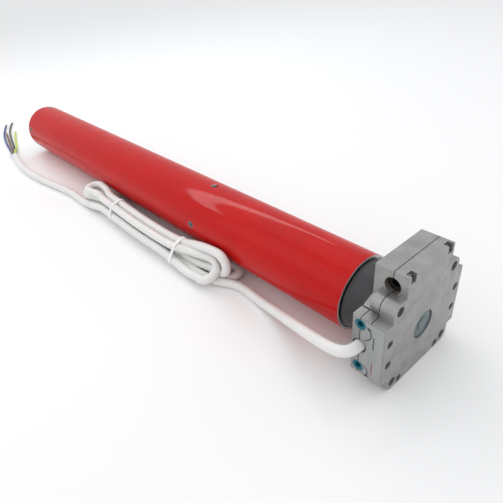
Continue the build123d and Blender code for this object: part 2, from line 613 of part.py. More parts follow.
def floor_prism(outline, h0, h1):
    """Outline of (u, y) points on the surface, from height h0 to h1."""
    c, s = cos(FLOOR_TILT), sin(FLOOR_TILT)
    base = Plane(origin=on_floor(0, 0, h0), x_dir=(c, 0, -s), z_dir=(s, 0, c))
    return extrude(base * make_face(Polyline(*outline, close=True)), amount=h1 - h0)


def rectangle(u0, u1, y0, y1):
    return [(u0, y0), (u1, y0), (u1, y1), (u0, y1)]


# each core leaves the sheath's end above (+) or below (-) and right or left of its middle, then
# lies on the surface through its own points
CORE_ROUTES = {
    "blue": (-1.4, 1.4, [(-46.0, -52.0), (-78.0, -46.0), (-108.0, -38.2), (-134.0, -28.6),
                         (-156.0, -18.4)]),
    "brown": (1.4, 1.4, [(-46.0, -48.4), (-80.0, -40.8), (-114.0, -31.8)]),
    "black": (-1.4, -1.4, [(-46.0, -44.8), (-80.0, -36.6), (-112.0, -27.6), (-138.0, -18.6),
                           (-158.0, -8.0)]),
    "earth": (1.4, -1.4, [(-44.0, -41.4), (-76.0, -32.0), (-108.0, -20.5)]),
}
CORE_STRAIGHT = 12.0


def make_cord():
    nodes["cord_lead"] = cord_tube("cord_lead", LEAD_ROUTE, CORD_R)
    nodes["cord_tail"] = cord_tube("cord_tail", TAIL_ROUTE, CORD_R)
    hank = [floor_prism(outline, h0, h1) for h0, h1, outline in HANK_LAYERS]
    nodes["cord_hank"] = hank[0] + hank[1] + hank[2] + hank[3]
    cores = []
    (u0, y0), (u1, y1) = LAST_BEND, SHEATH_END
    run = sqrt((u1 - u0) ** 2 + (y1 - y0) ** 2)
    ahead_u, ahead_y = (u1 - u0) / run, (y1 - y0) / run
    for colour, (rise, aside, bends) in CORE_ROUTES.items():
        u, y, h = u1 - aside * ahead_y, y1 + aside * ahead_u, 4.1 + rise
        route = [on_floor(u, y, h)]
        route.append(on_floor(u + CORE_STRAIGHT * ahead_u, y + CORE_STRAIGHT * ahead_y, h))
        route += [on_floor(bend_u, bend_y, CORE_R + 0.1) for bend_u, bend_y in bends]
        cores.append(cord_tube(f"core {colour}", route, CORE_R))
    nodes["cord_cores"] = Compound(cores)
    ties = []
    for u in TIE_STATIONS:
        outer = floor_prism(rectangle(u - 1.5, u + 1.5, -58.4, -29.6), 0.1, TIE_TOP)
        inner = floor_prism(rectangle(u - 2.0, u + 2.0, -57.8, -30.2), 0.7, TIE_TOP - 0.6)
        ties.append(outer - inner)
    nodes["cord_ties"] = Compound(ties)


PARTS = (make_castings, make_cover_screws, make_limit_box, make_limit_train, make_crown, make_worm,
         make_wheel_and_shaft, make_tube, make_tube_fittings, make_rotor, make_gearbox, make_cord)

for make in PARTS:
    make()

os.makedirs("parts", exist_ok=True)
for node, shape in nodes.items():
    export_step(shape, f"parts/{node}.step")
print(len(nodes), "nodes")
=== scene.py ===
"""Looks for a tubular roller shutter motor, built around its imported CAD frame.

Everything is in metres in the row frame: +X out of the head's front face, +Z up.
"""
import bmesh
import bpy
import json
from math import atan, cos, pi, radians, sin
from mathutils import Matrix, Vector


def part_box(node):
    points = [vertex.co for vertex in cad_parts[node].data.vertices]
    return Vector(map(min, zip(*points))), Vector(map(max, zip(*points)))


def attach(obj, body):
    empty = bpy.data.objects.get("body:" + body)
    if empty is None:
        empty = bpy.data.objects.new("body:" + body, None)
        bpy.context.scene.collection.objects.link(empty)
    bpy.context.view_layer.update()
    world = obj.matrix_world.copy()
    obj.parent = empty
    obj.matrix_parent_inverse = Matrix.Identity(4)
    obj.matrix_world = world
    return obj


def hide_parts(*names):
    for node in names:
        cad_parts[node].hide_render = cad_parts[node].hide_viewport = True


MM = 0.001
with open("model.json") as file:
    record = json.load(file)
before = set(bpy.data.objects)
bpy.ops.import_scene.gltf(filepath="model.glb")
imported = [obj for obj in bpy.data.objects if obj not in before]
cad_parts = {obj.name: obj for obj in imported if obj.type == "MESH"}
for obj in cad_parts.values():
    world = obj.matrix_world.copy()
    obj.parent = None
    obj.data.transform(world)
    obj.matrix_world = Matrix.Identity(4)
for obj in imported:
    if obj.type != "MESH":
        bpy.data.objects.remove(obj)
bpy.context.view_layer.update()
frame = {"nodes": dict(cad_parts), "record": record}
NODES = frame["nodes"]
RECORD = frame["record"]
BODY_OF = {node: body for body, nodes in RECORD["behaviour"]["bodies"].items() for node in nodes}
SLOT_OF = {part["node"]: part["material_slot"] for part in RECORD["subparts"]}

TUBE_LOW, TUBE_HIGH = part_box("motor_tube")
HEAD_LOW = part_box("head_housing")[0]
# where the castings meet, along X
COVER_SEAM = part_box("head_cover")[0][0]
BOX_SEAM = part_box("limit_box_front_shell")[0][0]
TUBE_R = TUBE_HIGH[2]
TUBE_FAR = TUBE_LOW[0]
# the table touches the tube's far end and the head's bottom edge
FLOOR_TILT = atan((-TUBE_R - HEAD_LOW[2]) / (HEAD_LOW[0] - TUBE_FAR))


def on_floor(u, y, h):
    """Point u mm along the table from below the tube's far end, y mm across and h mm above it."""
    c, s = cos(FLOOR_TILT), sin(FLOOR_TILT)
    return Vector((TUBE_FAR + MM * (u * c + h * s), MM * y, -TUBE_R + MM * (h * c - u * s)))


def metres(points):
    return [Vector(p) * MM for p in points]


# ---- camera, light and table ----------------------------------------------------------
def make_camera():
    camera = bpy.data.objects.new("camera", bpy.data.cameras.new("camera"))
    camera.data.sensor_width = 36.0
    camera.data.lens = 34.48
    camera.data.clip_start = 0.01
    right = Vector((0.6732, 0.7356, -0.0754)).normalized()
    back = Vector((0.6357, -0.5236, 0.5672))
    back = (back - right * back.dot(right)).normalized()
    axes = Matrix((right, back.cross(right), back)).transposed()
    camera.matrix_world = Matrix.Translation((0.1073, -0.2279, 0.2268)) @ axes.to_4x4()
    bpy.context.collection.objects.link(camera)
    bpy.context.scene.camera = camera


def area_light(name, place, aim, size, power, tint=(1.0, 1.0, 1.0)):
    data = bpy.data.lights.new(name, "AREA")
    data.shape = "RECTANGLE"
    data.size, data.size_y = size
    data.energy = power
    data.color = tint
    light = bpy.data.objects.new(name, data)
    light.location = place
    light.rotation_mode = "QUATERNION"
    light.rotation_quaternion = (Vector(aim) - Vector(place)).to_track_quat("-Z", "Y")
    bpy.context.collection.objects.link(light)


def make_studio():
    scene = bpy.context.scene
    scene.view_settings.view_transform = "Standard"
    world = bpy.data.worlds.new("studio")
    world.use_nodes = True
    sky = world.node_tree.nodes["Background"]
    sky.inputs["Color"].default_value = (0.97, 0.98, 1.0, 1.0)
    sky.inputs["Strength"].default_value = 0.86
    scene.world = world
    area_light("overhead", (-0.30, 0.25, 0.95), (-0.25, -0.02, 0.0), (1.5, 0.7), 1.2)
    area_light("left_window", (-0.55, -0.95, 0.75), (-0.2, 0.0, 0.0), (1.2, 0.8), 1.4)
    area_light("tube_streak", (-0.99, 0.16, 0.79), (-0.35, 0.0, 0.03), (1.5, 0.10), 2.4)
    area_light("right_fill", (0.75, 0.25, 0.55), (0.0, 0.0, 0.0), (0.6, 0.6), 0.5)


TABLE_REACH = 6000


def make_table():
    mesh = bpy.data.meshes.new("table_top")
    bm = bmesh.new()
    reach = TABLE_REACH
    corners = [(-reach, -reach), (reach, -reach), (reach, reach), (-reach, reach)]
    bm.faces.new([bm.verts.new(on_floor(u, y, 0.0)) for u, y in corners])
    bm.to_mesh(mesh)
    bm.free()
    table = bpy.data.objects.new("table_top", mesh)
    bpy.context.collection.objects.link(table)
    mat, _, _, shader = new_material("table_white")
    shader.inputs["Base Color"].default_value = (0.93, 0.93, 0.925, 1.0)
    shader.inputs["Roughness"].default_value = 0.35
    shader.inputs["Specular IOR Level"].default_value = 0.25
    mesh.materials.append(mat)


# ---- materials ------------------------------------------------------------------------
def new_material(name):
    mat = bpy.data.materials.new(name)
    mat.use_nodes = True
    nodes, links = mat.node_tree.nodes, mat.node_tree.links
    return mat, nodes, links, nodes["Principled BSDF"]


def noise(nodes, links, coords, size_mm, detail=3.0, stretch=None):
    """Noise whose features are about size_mm across, stretched along an axis if asked."""
    source = coords
    if stretch:
        mapping = nodes.new("ShaderNodeMapping")
        mapping.inputs["Scale"].default_value = stretch
        links.new(coords, mapping.inputs["Vector"])
        source = mapping.outputs["Vector"]
    tex = nodes.new("ShaderNodeTexNoise")
    tex.inputs["Scale"].default_value = 1.0 / (size_mm * MM)
    tex.inputs["Detail"].default_value = detail
    links.new(source, tex.inputs["Vector"])
    return tex.outputs["Fac"]


def ramp(nodes, links, value, low, high, start=0.35, end=0.65):
    """Colour from low to high as value goes from start to end."""
    node = nodes.new("ShaderNodeValToRGB")
    node.color_ramp.elements[0].position = start
    node.color_ramp.elements[1].position = end
    node.color_ramp.elements[0].color = (*low, 1.0)
    node.color_ramp.elements[1].color = (*high, 1.0)
    links.new(value, node.inputs["Fac"])
    return node.outputs["Color"]


def spread(nodes, links, value, low, high):
    node = nodes.new("ShaderNodeMapRange")
    node.inputs["From Min"].default_value = 0.3
    node.inputs["From Max"].default_value = 0.7
    node.inputs["To Min"].default_value = low
    node.inputs["To Max"].default_value = high
    links.new(value, node.inputs["Value"])
    return node.outputs["Result"]


def mixed(nodes, links, factor, under, over):
    """The colour under, changing to the plain colour over as factor goes from 0 to 1."""
    mix = nodes.new("ShaderNodeMix")
    mix.data_type = "RGBA"
    links.new(factor, mix.inputs["Factor"])
    links.new(under, mix.inputs[6])
    mix.inputs[7].default_value = (*over, 1.0)
    return mix.outputs[2]


def bump(nodes, links, shader, height, strength, depth_mm):
    node = nodes.new("ShaderNodeBump")
    node.inputs["Strength"].default_value = strength
    node.inputs["Distance"].default_value = depth_mm * MM
    links.new(height, node.inputs["Height"])
    links.new(node.outputs["Normal"], shader.inputs["Normal"])


def edge_mask(nodes, links, radius_mm):
    """1 near the edges, where the rounded normal leaves the true one."""
    rounded = nodes.new("ShaderNodeBevel")
    rounded.samples = 6
    rounded.inputs["Radius"].default_value = radius_mm * MM
    true = nodes.new("ShaderNodeNewGeometry")
    dot = nodes.new("ShaderNodeVectorMath")
    dot.operation = "DOT_PRODUCT"
    links.new(rounded.outputs["Normal"], dot.inputs[0])
    links.new(true.outputs["Normal"], dot.inputs[1])
    mask = nodes.new("ShaderNodeMapRange")
    mask.inputs["From Min"].default_value = 0.995
    mask.inputs["From Max"].default_value = 0.85
    links.new(dot.outputs["Value"], mask.inputs["Value"])
    return mask.outputs["Result"]


def surface(name, tone, roughness, metallic=0.0, variation=0.08, mottle_mm=9.0, grain_mm=0.5,
            grain=0.15, depth_mm=0.03, rough_swing=0.06, brushed=None, worn=None, worn_mm=0.5,
            **constants):
    """A material with a mottled tone, uneven roughness and a fine grain, and worn edges."""
    mat, nodes, links, shader = new_material(name)
    coords = nodes.new("ShaderNodeTexCoord").outputs["Object"]
    low = [c * (1 - variation) for c in tone]
    high = [min(1.0, c * (1 + variation)) for c in tone]
    colour = ramp(nodes, links, noise(nodes, links, coords, mottle_mm, 5.0), low, high)
    fine = noise(nodes, links, coords, grain_mm, 4.0, brushed)
    if worn:
        blotch = noise(nodes, links, coords, 3.0)
        weight = nodes.new("ShaderNodeMath")
        weight.operation = "MULTIPLY"
        links.new(edge_mask(nodes, links, worn_mm), weight.inputs[0])
        links.new(spread(nodes, links, blotch, 0.35, 1.0), weight.inputs[1])
        colour = mixed(nodes, links, weight.outputs["Value"], colour, worn)
    links.new(colour, shader.inputs["Base Color"])
    uneven = spread(nodes, links, noise(nodes, links, coords, mottle_mm * 0.6, 4.0, brushed),
                    roughness - rough_swing, roughness + rough_swing)
    links.new(uneven, shader.inputs["Roughness"])
    shader.inputs["Metallic"].default_value = metallic
    for socket, value in constants.items():
        shader.inputs[socket.replace("_", " ")].default_value = value
    bump(nodes, links, shader, fine, grain, depth_mm)
    return mat


SEAM_HALF_WIDTH = 0.3 * MM
# near-black colour painted along each seam, as the shade in the gap between the castings
SEAM_SHADE = (0.03, 0.03, 0.03)


def casting_material(name, seams):
    """Bead-blasted zinc, with painted shade in the thin gaps where the castings meet."""
    mat = surface(name, (0.34, 0.34, 0.33), 0.46, metallic=0.72, variation=0.10,
                  mottle_mm=11.0, grain_mm=0.45, grain=0.30, depth_mm=0.05, rough_swing=0.07,
                  worn=(0.40, 0.40, 0.39), worn_mm=0.4)
    nodes, links = mat.node_tree.nodes, mat.node_tree.links
    shader = nodes["Principled BSDF"]
    place = nodes.new("ShaderNodeSeparateXYZ")
    links.new(nodes.new("ShaderNodeTexCoord").outputs["Object"], place.inputs["Vector"])
    # painted shade: a thin band of X round each seam is mixed to the near-black seam colour
    for seam in seams:
        near = nodes.new("ShaderNodeMath")
        near.operation = "COMPARE"
        near.inputs[1].default_value = seam
        near.inputs[2].default_value = SEAM_HALF_WIDTH
        links.new(place.outputs["X"], near.inputs[0])
        under = shader.inputs["Base Color"].links[0].from_socket
        shaded_seam = mixed(nodes, links, near.outputs["Value"], under, SEAM_SHADE)
        links.new(shaded_seam, shader.inputs["Base Color"])
    return mat


BARE_STEEL = (0.84, 0.83, 0.81)


def paint_material():
    """Gloss red enamel over a steel tube whose cut ends are bare."""
    mat = surface("red_paint", (0.52, 0.005, 0.0045), 0.42, variation=0.05, mottle_mm=30.0,
                  grain_mm=1.6, grain=0.06, depth_mm=0.03, rough_swing=0.05,
                  Specular_IOR_Level=0.05, Coat_Weight=0.30, Coat_Roughness=0.06)
    nodes, links = mat.node_tree.nodes, mat.node_tree.links
    shader = nodes["Principled BSDF"]
    coords = nodes.new("ShaderNodeTexCoord")
    normal = nodes.new("ShaderNodeSeparateXYZ")
    links.new(coords.outputs["Normal"], normal.inputs["Vector"])
    facing = nodes.new("ShaderNodeMath")
    facing.operation = "ABSOLUTE"
    links.new(normal.outputs["X"], facing.inputs[0])
    bare = nodes.new("ShaderNodeMapRange")
    bare.inputs["From Min"].default_value = 0.25
    bare.inputs["From Max"].default_value = 0.4
    links.new(facing.outputs["Value"], bare.inputs["Value"])
    paint = shader.inputs["Base Color"].links[0].from_socket
    colour = mixed(nodes, links, bare.outputs["Result"], paint, BARE_STEEL)
    links.new(colour, shader.inputs["Base Color"])
    metal = nodes.new("ShaderNodeMapRange")
    metal.inputs["To Max"].default_value = 0.55
    links.new(bare.outputs["Result"], metal.inputs["Value"])
    links.new(metal.outputs["Result"], shader.inputs["Metallic"])
    return mat


def make_materials():
    # the castings carry painted shade lines at their seams, one on the head and two on the limit box
    lib = {"zinc_casting": casting_material("zinc_casting", (COVER_SEAM,)),
           "box_casting": casting_material("box_casting", (COVER_SEAM, BOX_SEAM)),
           "red_paint": paint_material()}
    lib["white_pvc"] = surface("white_pvc", (0.80, 0.79, 0.77), 0.34, variation=0.025, mottle_mm=14.0,
                               grain_mm=1.2, grain=0.10, depth_mm=0.04, Subsurface_Weight=0.08,
                               Subsurface_Radius=(0.004, 0.004, 0.004))
    lib["tie_white"] = surface("tie_white", (0.90, 0.90, 0.89), 0.42, variation=0.03,
                               mottle_mm=3.0, grain_mm=0.6)
    lib["crown_plastic"] = surface("crown_plastic", (0.028, 0.029, 0.031), 0.45, variation=0.12,
                                   grain_mm=0.35, grain=0.25, depth_mm=0.04)
    lib["black_plastic"] = surface("black_plastic", (0.03, 0.03, 0.033), 0.45, variation=0.1)
    lib["grey_rubber"] = surface("grey_rubber", (0.07, 0.07, 0.07), 0.62, variation=0.15,
                                 grain_mm=0.3, grain=0.3)
    lib["steel"] = surface("steel", (0.56, 0.56, 0.57), 0.33, metallic=1.0, variation=0.06,
                           grain_mm=0.3, grain=0.2, brushed=(0.12, 1.0, 1.0))
    lib["shaft_steel"] = surface("shaft_steel", (0.14, 0.175, 0.19), 0.34, metallic=1.0,
                                 variation=0.10, mottle_mm=4.0, grain_mm=0.25, grain=0.2,
                                 worn=(0.42, 0.46, 0.48), worn_mm=0.3)
    lib["bearing_steel"] = surface("bearing_steel", (0.72, 0.72, 0.74), 0.16, metallic=1.0,
                                   variation=0.03, grain_mm=0.3, grain=0.05)
    lib["screw_steel"] = surface("screw_steel", (0.17, 0.17, 0.165), 0.40, metallic=1.0,
                                 variation=0.25, mottle_mm=1.5, grain_mm=0.2, grain=0.25,
                                 worn=(0.42, 0.42, 0.41), worn_mm=0.25)
    # steel darkened almost to black, as painted shade in the crank hole where the crank worm's end
    # shows
    lib["crank_hole_shaded_steel"] = surface("crank_hole_shaded_steel", (0.045, 0.045, 0.043), 0.5, metallic=0.8,
                                 variation=0.2, mottle_mm=2.0, grain_mm=0.2)
    lib["black_steel"] = surface("black_steel", (0.03, 0.03, 0.033), 0.38, metallic=0.6)
    # bronze darkened almost to black, as painted shade for the bushes in the crank hole
    lib["bronze"] = surface("bronze", (0.075, 0.05, 0.028), 0.5, metallic=1.0, grain_mm=0.3)
    lib["silver_label"] = surface("silver_label", (0.36, 0.37, 0.37), 0.46, metallic=0.55,
                                  variation=0.05, mottle_mm=6.0, grain_mm=0.25, grain=0.12,
                                  brushed=(1.0, 1.0, 0.1))
    lib["limit_blue"] = surface("limit_blue", (0.006, 0.12, 0.17), 0.38, variation=0.12,
                                mottle_mm=2.5, grain_mm=0.3, Specular_IOR_Level=0.3)
    lib["nylon"] = surface("nylon", (0.78, 0.76, 0.70), 0.45, variation=0.04)
    lib["aluminium_part"] = surface("aluminium_part", (0.60, 0.61, 0.62), 0.38, metallic=0.9,
                                    grain_mm=0.4, grain=0.2)
    lib["capacitor_can"] = surface("capacitor_can", (0.72, 0.72, 0.75), 0.25, metallic=0.8)
    lib["lamination"] = surface("lamination", (0.13, 0.13, 0.14), 0.48, metallic=0.7,
                                grain_mm=0.5, grain=0.4, brushed=(1.0, 0.02, 0.02))
    lib["copper_wire"] = surface("copper_wire", (0.52, 0.20, 0.07), 0.32, metallic=1.0,
                                 grain_mm=0.6, grain=0.5, brushed=(0.1, 1.0, 1.0))
    lib["brake_lining"] = surface("brake_lining", (0.10, 0.085, 0.07), 0.7, variation=0.2)
    lib["core_blue"] = surface("core_blue", (0.016, 0.040, 0.20), 0.36, grain_mm=0.6)
    lib["core_brown"] = surface("core_brown", (0.16, 0.060, 0.022), 0.36, grain_mm=0.6)
    lib["core_black"] = surface("core_black", (0.02, 0.02, 0.024), 0.36, grain_mm=0.6)
    lib["core_earth"] = surface("core_earth", (0.55, 0.62, 0.05), 0.36, grain_mm=0.6)
    lib["bare_copper"] = surface("bare_copper", (0.62, 0.33, 0.17), 0.3, metallic=1.0,
                                 mottle_mm=1.0, grain_mm=0.2)
    lib["label_ink"] = surface("label_ink", (0.045, 0.045, 0.05), 0.5, grain_mm=0.3)
    lib["label_red"] = surface("label_red", (0.30, 0.10, 0.09), 0.5, grain_mm=0.3)
    return lib


# ---- surfaces of the CAD parts ------------------------------------------------------------
def cleaned_mesh(node, name):
    """The node's mesh with its triangles joined into flat faces."""
    bm = bmesh.new()
    bm.from_mesh(NODES[node].data)
    bmesh.ops.remove_doubles(bm, verts=bm.verts, dist=2e-6)
    bmesh.ops.dissolve_limit(bm, angle_limit=radians(0.8), verts=bm.verts, edges=bm.edges)
    for face in bm.faces:
        face.smooth = True
        face.material_index = 0
    mesh = bpy.data.meshes.new(name)
    bm.to_mesh(mesh)
    bm.free()
    if "custom_normal" in mesh.attributes:
        mesh.attributes.remove(mesh.attributes["custom_normal"])
    return mesh


def link_piece(piece, body, mat):
    bpy.context.collection.objects.link(piece)
    piece.data.materials.append(mat)
    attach(piece, body)


BEVEL_SEGMENTS = 2
BEVEL_ANGLE = 32.0


def round_edges(piece, width_mm):
    bevel = piece.modifiers.new("rounded_edges", "BEVEL")
    bevel.width = width_mm * MM
    bevel.segments = BEVEL_SEGMENTS
    bevel.limit_method = "ANGLE"
    bevel.angle_limit = radians(BEVEL_ANGLE)
    bevel.use_clamp_overlap = True
    bevel.miter_outer = "MITER_ARC"
    normals = piece.modifiers.new("even_normals", "WEIGHTED_NORMAL")
    normals.keep_sharp = True


def rounded_part(node, lib, width_mm):
    """The CAD part again, with its edges rounded as casting, moulding or turning leaves them."""
    piece = bpy.data.objects.new(f"{node}_finished", cleaned_mesh(node, f"{node}_finished"))
    piece.data.materials.clear()
    slot = SLOT_OF[node]
    link_piece(piece, BODY_OF[node], lib[FINISH_OF.get(node, slot)])
    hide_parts(node)
    round_edges(piece, width_mm)


# parts whose look differs from the usual look of their material; the crank worm's steel is darkened
# almost to black as painted shade in the crank hole
FINISH_OF = {"crank_worm": "crank_hole_shaded_steel", "limit_box_rear_shell": "box_casting",
             "limit_box_front_shell": "box_casting"}
# width of each part's rounded edges, in mm
ROUNDED = {
    "head_housing": 0.45, "head_cover": 0.45, "limit_box_rear_shell": 0.35,
    "limit_box_front_shell": 0.35, "crown_ring": 0.25, "hub_shaft": 0.2, "flank_screws": 0.12,
    "cover_screws": 0.12, "upper_limit_screw": 0.25, "lower_limit_screw": 0.25,
    "cord_gland": 0.35, "tube_screws": 0.12, "motor_tube": 0.2, "output_shaft": 0.3,
    "output_end_cap": 0.3, "crank_worm": 0.1, "tube_adapter": 0.3, "crown_circlip": 0.1,
}


def dress_frame(lib):
    for node, width_mm in ROUNDED.items():
        rounded_part(node, lib, width_mm)
    for node, cad in NODES.items():
        if node in ROUNDED:
            continue
        cad.data.materials.clear()
        cad.data.materials.append(lib[SLOT_OF[node]])


# ---- label marks ----------------------------------------------------------------------
LABEL_INK_MM = 0.06
ARROW_STEPS = 14
ARROW_HALF_WIDTH = 0.5
# the head: how far it reaches past the line's end, in degrees, and out to each side, in mm
ARROW_HEAD_TURN = 22.0
ARROW_BARB = 1.5
BAR_HALF_WIDTH = 0.55
BAR_HEIGHT = 1.0
BAR_PITCH = 1.5


def strip_prism(bm, outline, y0, y1):
    """Closed outline of (x, z) points in mm, as a thin plate from y0 to y1."""
    back = [bm.verts.new(Vector((x, y0, z)) * MM) for x, z in outline]
    front = [bm.verts.new(Vector((x, y1, z)) * MM) for x, z in outline]
    bm.faces.new(back)
    bm.faces.new(list(reversed(front)))
    count = len(outline)
    for k in range(count):
        bm.faces.new((back[k], front[k], front[(k + 1) % count], back[(k + 1) % count]))


def turn_arrow(bm, centre, radius, start, end, y):
    """Curved arrow round centre from angle start to end, in degrees, its head at start."""
    def polar(r, a):
        return centre[0] + r * cos(radians(a)), centre[1] + r * sin(radians(a))

    steps, half, barb = ARROW_STEPS, ARROW_HALF_WIDTH, ARROW_BARB
    angles = [start + (end - start) * k / steps for k in range(steps + 1)]
    outline = [polar(radius + half * (1 - 0.5 * k / steps), a) for k, a in enumerate(angles)]
    outline += [polar(radius - half * (1 - 0.5 * k / steps), a)
                for k, a in reversed(list(enumerate(angles)))]
    strip_prism(bm, outline, y, y - LABEL_INK_MM)
    head = ARROW_HEAD_TURN if start > end else -ARROW_HEAD_TURN
    strip_prism(bm, [polar(radius + barb, start - head * 0.1), polar(radius, start + head),
                     polar(radius - barb, start - head * 0.1)], y, y - LABEL_INK_MM)


def marks_piece(name, lib, ink, draw):
    mesh = bpy.data.meshes.new(name)
    bm = bmesh.new()
    draw(bm)
    bmesh.ops.recalc_face_normals(bm, faces=bm.faces)
    bm.to_mesh(mesh)
    bm.free()
    link_piece(bpy.data.objects.new(name, mesh), "head", lib[ink])


def make_label_marks(lib):
    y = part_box("limit_label")[0][1] / MM

    def bars(bm, x, z0, z1):
        z = z0
        while z < z1:
            left, right, top = x - BAR_HALF_WIDTH, x + BAR_HALF_WIDTH, z + BAR_HEIGHT
            strip_prism(bm, [(left, z), (right, z), (right, top), (left, top)], y, y - LABEL_INK_MM)
            z += BAR_PITCH

    marks_piece("upper_turn_arrow", lib, "label_ink",
                lambda bm: turn_arrow(bm, (-16.4, 13.4), 6.4, 40.0, -75.0, y))
    marks_piece("lower_turn_arrow", lib, "label_ink",
                lambda bm: turn_arrow(bm, (-16.0, -20.0), 5.3, -26.0, 74.0, y))
    marks_piece("upper_label_bars", lib, "label_ink", lambda bm: bars(bm, -8.0, 3.0, 13.0))
    marks_piece("lower_label_bars", lib, "label_red", lambda bm: bars(bm, -8.0, -19.0, -9.0))


# ---- cord -------------------------------------------------------------------------------
CORD_R = 4.0
LEAD = metres([
    (-18.4, -42.8, 0.0), (-18.4, -50.2, 0.0), (-24.2, -55.6, -1.0), (-36.0, -55.4, -3.6),
    (-52.0, -51.5, -8.8), (-73.0, -45.5, -16.5), (-97.0, -38.0, -25.6),
]) + [on_floor(476.0, -33.0, 4.3), on_floor(458.0, -31.2, 4.1), on_floor(444.0, -32.8, 4.1)]
TAIL = [
    on_floor(189.5, -53.2, 4.1), on_floor(171.0, -52.8, 4.1), on_floor(147.0, -55.8, 4.1),
    on_floor(108.0, -62.8, 4.1), on_floor(72.0, -66.0, 4.1), on_floor(36.0, -65.0, 4.1),
    on_floor(-6.0, -57.5, 4.1),
]
# where each of the seven strands lies round the bundle's middle, across and up, in mm
STRANDS = {
    "entering": (-2.6, -7.6), "middle": (0.2, 0.2), "back": (8.2, 1.6), "under": (5.6, -7.5),
    "top": (3.2, 8.0), "front_top": (-5.0, 6.6), "front": (-9.0, -2.2),
}
# the bundle's middle, as u, y at each u, and h
BUNDLE_STATIONS = (366.0, 341.0, 316.0, 289.0, 262.0, 240.0)
BUNDLE_Y = {366.0: -42.0, 341.0: -42.8, 316.0: -43.0, 289.0: -42.4, 262.0: -41.4, 240.0: -40.8}
BUNDLE_H = 11.8
# along and across a fold, in fold radii: an octagon's corners from one straight side to the other
FOLD = ((-0.414, 1.0), (0.414, 1.0), (1.0, 0.414), (1.0, -0.414), (0.414, -1.0), (-0.414, -1.0))


def fold(centre, radius, way, incoming):
    """Half turn of the cord about a centre, towards larger (+1) or smaller (-1) u."""
    u, y, h = centre
    side = Vector(incoming).normalized()
    return [(u + way * radius * along, y + radius * across * side.x, h + radius * across * side.y)
            for along, across in FOLD]


# right-hand loops and left-hand bights, as (u, y, h) points on the table
LOOPS = {
    "under_to_back": [(390, -34.0, 4.2), (412, -31.5, 4.2)]
    + fold((431.5, -25.4, 5.6), 7.2, 1, (-1.0, -0.14))
    + [(412, -21.0, 8.4), (395, -28.0, 10.8), (380, -31.5, 12.6)],
    "middle_to_top": [(386, -40.5, 10.0), (400, -38.6, 8.6), (420, -36.2, 10.6)]
    + fold((429.5, -35.2, 20.4), 9.6, 1, (-0.02, -1.0))
    + [(412, -35.0, 28.0), (398, -35.6, 25.0), (384, -37.5, 21.6)],
    "front_top_to_front": [(381, -44.6, 18.6), (394, -40.5, 18.6), (408, -37.2, 19.2)]
    + fold((421.0, -43.2, 13.6), 10.2, 1, (0.82, 0.57))
    + [(404, -52.3, 6.0), (388, -51.8, 7.4)],
}
BIGHTS = {
    "entering_to_under": fold((202.0, -37.4, 4.2), 8.2, -1, (-1.0, 0.0)),
    "back_to_middle": [(224, -33.0, 13.0)] + fold((204.0, -39.6, 12.6), 8.2, -1, (1.0, 0.05))
    + [(224, -42.6, 12.2)],
    "top_to_front_top": [(230, -33.8, 20.6)] + fold((213.0, -40.6, 20.9), 7.8, -1, (1.0, 0.05))
    + [(226, -43.6, 19.2)],
}
LAST_STRAND = [(224, -52.4, 6.6), (206, -53.2, 4.3)]


def strand_point(name, u):
    across, up = STRANDS[name]
    return on_floor(u, BUNDLE_Y[u] + across, BUNDLE_H + up)


def strand(name, leftwards):
    """The strand's points through the tied bundle, in the order that the cord follows them."""
    stations = BUNDLE_STATIONS if leftwards else reversed(BUNDLE_STATIONS)
    return [strand_point(name, u) for u in stations]


def cord_points():
    points = LEAD + [on_floor(432.0, -40.5, 4.1), on_floor(414.0, -44.6, 4.1),
                     on_floor(388.0, -44.9, 4.1)] + strand("entering", True)
    turns = (("entering_to_under", "under", "under_to_back", "back"),
             ("back_to_middle", "middle", "middle_to_top", "top"),
             ("top_to_front_top", "front_top", "front_top_to_front", "front"))
    for bight, rightwards, loop, leftwards in turns:
        points += [on_floor(*p) for p in BIGHTS[bight]]
        points += strand(rightwards, False)
        points += [on_floor(*p) for p in LOOPS[loop]]
        points += strand(leftwards, True)
    return points + [on_floor(*p) for p in LAST_STRAND] + TAIL


def flexible(name, points, radius_mm, mat):
    """A round cord on one smooth NURBS line."""
    curve = bpy.data.curves.new(name, "CURVE")
    curve.dimensions = "3D"
    spline = curve.splines.new("NURBS")
    spline.points.add(len(points) - 1)
    for control, point in zip(spline.points, points):
        control.co = (*point, 1.0)
    spline.order_u = 3
    spline.use_endpoint_u = True
    spline.resolution_u = 8
    curve.bevel_depth = radius_mm * MM
    curve.bevel_resolution = 8
    curve.use_fill_caps = True
    piece = bpy.data.objects.new(name, curve)
    link_piece(piece, "head", mat)
    return piece


CORE_R = 1.3
CORE_STRAIGHT = 12.0
CORD_LIFT = 4.1
SHEATH_END = (-6.0, -57.5)
LAST_BEND = (36.0, -65.0)
# where each core leaves the sheath, up and across, and its points on the table
CORES = {
    "blue": (-1.4, 1.4, [(-46.0, -52.0), (-78.0, -46.0), (-108.0, -38.2), (-134.0, -28.6),
                         (-156.0, -18.4)]),
    "brown": (1.4, 1.4, [(-46.0, -48.4), (-80.0, -40.8), (-114.0, -31.8)]),
    "black": (-1.4, -1.4, [(-46.0, -44.8), (-80.0, -36.6), (-112.0, -27.6), (-138.0, -18.6),
                           (-158.0, -8.0)]),
    "earth": (1.4, -1.4, [(-44.0, -41.4), (-76.0, -32.0), (-108.0, -20.5)]),
}

TIP_LENGTH = 7.0
TIP_STRAND_R = 0.22
TIP_STRANDS = 7
TIP_RING_R = 0.55


